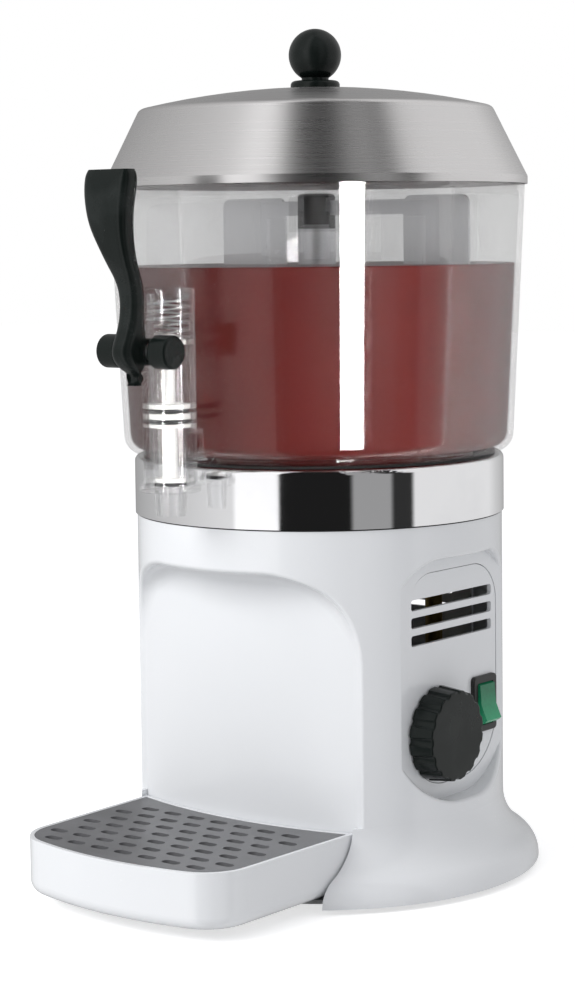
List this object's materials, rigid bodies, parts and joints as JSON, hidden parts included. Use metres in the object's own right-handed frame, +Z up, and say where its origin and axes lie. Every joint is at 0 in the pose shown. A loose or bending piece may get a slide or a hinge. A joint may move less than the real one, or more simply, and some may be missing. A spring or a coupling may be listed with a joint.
{
  "type": "countertop warm liquid dispenser",
  "caption": "Countertop dispenser with a clear stirred bowl on a heated water-bath base, lever tap, lidded top and pull-out drip tray.",
  "frame": {"origin": "centre of the resting plane, under the bowl's axis", "axes": "+Z up along the bowl's axis, -Y towards the user (tap and drip tray), +X towards the control panel"},
  "size_m": [0.243, 0.3045, 0.4635],
  "materials": {
    "white_housing": "moulded gloss",
    "bright_band": "mirror polished",
    "lid_steel": "satin spun",
    "tank_steel": "satin",
    "clear_plastic": "clear moulded",
    "black_gloss": "gloss",
    "black_plastic": "fine grain",
    "grid_plastic": "satin",
    "white_plastic": "moulded",
    "rubber": "matte",
    "zinc_plate": "zinc plated",
    "screw_steel": "plain",
    "heater_aluminium": "cast",
    "element_steel": "heat tinted",
    "brass": "turned",
    "gear_case": "die cast",
    "motor_paint": "painted",
    "lit_green": "translucent gloss"
  },
  "bodies": {
    "base": {"rubber_feet": "rubber", "foot_screws": "screw_steel", "base_plate": "zinc_plate", "base_skirt": "white_housing", "body_shell": "white_housing", "control_panel": "white_housing", "vent_panel": "white_housing", "rear_cover": "white_housing", "cover_screws": "screw_steel", "seam_strip": "rubber", "tank_ring": "bright_band", "water_tank": "tank_steel", "bowl_gasket": "rubber", "heater_plate": "heater_aluminium", "heating_element": "element_steel", "safety_cutout": "white_plastic", "thermostat_body": "black_plastic", "thermostat_bulb": "screw_steel", "drain_pipe": "brass", "gearbox": "gear_case", "motor": "motor_paint", "motor_bracket": "zinc_plate", "bracket_screws": "screw_steel", "shaft_bush": "brass", "shaft_seal": "rubber", "terminal_block": "white_plastic", "power_inlet": "black_plastic", "inlet_pins": "screw_steel", "switch_body": "black_plastic"},
    "drive": {"drive_shaft": "tank_steel", "shaft_collar": "screw_steel"},
    "bowl": {"bowl": "clear_plastic", "tap_tube": "clear_plastic", "tap_cap": "clear_plastic", "return_spring": "screw_steel"},
    "stirrer": {"stirrer_tube": "tank_steel", "drive_cap": "black_plastic", "inner_paddle": "tank_steel", "outer_paddle": "tank_steel"},
    "lid": {"lid": "lid_steel", "lid_knob": "black_gloss", "knob_screw": "screw_steel"},
    "lever": {"lever": "black_gloss", "lever_pin": "screw_steel", "lever_caps": "black_gloss"},
    "piston": {"piston": "white_plastic", "piston_rings": "rubber", "seat_washer": "rubber"},
    "tray": {"drip_tray": "white_housing"},
    "grid": {"drip_grid": "grid_plastic"},
    "dial": {"control_dial": "black_gloss", "dial_spindle": "screw_steel"},
    "rocker": {"rocker": "lit_green"},
    "drain_cap": {"drain_cap": "black_gloss"}
  },
  "joints": [
    {"name": "drive_spin", "type": "hinge", "parent": "base", "child": "drive", "pos_m": [0, 0, 0.15], "axis": [0, 0, 1], "continuous": true},
    {"name": "bowl_lift", "type": "slide", "parent": "base", "child": "bowl", "axis": [0, 0, 1], "range_m": [0, 0.19]},
    {"name": "stirrer_spin", "type": "hinge", "parent": "bowl", "child": "stirrer", "pos_m": [0, 0, 0.2], "axis": [0, 0, 1], "continuous": true},
    {"name": "lid_lift", "type": "slide", "parent": "bowl", "child": "lid", "axis": [0, 0, 1], "range_m": [0, 0.12]},
    {"name": "lever_pull", "type": "hinge", "parent": "bowl", "child": "lever", "pos_m": [0, -0.1467, 0.292], "axis": [1, 0, 0], "range_deg": [0, 25], "stiffness_Nm_per_rad": 0.5, "springref_deg": -11.46},
    {"name": "piston_lift", "type": "slide", "parent": "bowl", "child": "piston", "axis": [0, 0, 1], "range_m": [0, 0.0096], "deforming": ["return_spring"]},
    {"name": "tray_pull", "type": "slide", "parent": "base", "child": "tray", "axis": [0, -1, 0], "range_m": [0, 0.12]},
    {"name": "grid_lift", "type": "slide", "parent": "tray", "child": "grid", "axis": [0, 0, 1], "range_m": [0, 0.04]},
    {"name": "dial_turn", "type": "hinge", "parent": "base", "child": "dial", "pos_m": [0.0909, -0.016, 0.084], "axis": [1, 0, 0], "range_deg": [-270, 0]},
    {"name": "rocker_tilt", "type": "hinge", "parent": "base", "child": "rocker", "pos_m": [0.0897, 0.0285, 0.093], "axis": [0, 1, 0], "range_deg": [0, 20]},
    {"name": "drain_cap_off", "type": "slide", "parent": "base", "child": "drain_cap", "axis": [0, 1, 0], "range_m": [0, 0.03]}
  ],
  "couplings": [
    {"joint": "stirrer_spin", "follows": "drive_spin", "ratio": 1},
    {"joint": "piston_lift", "follows": "lever_pull", "m_per_rad": 0.0217}
  ]
}
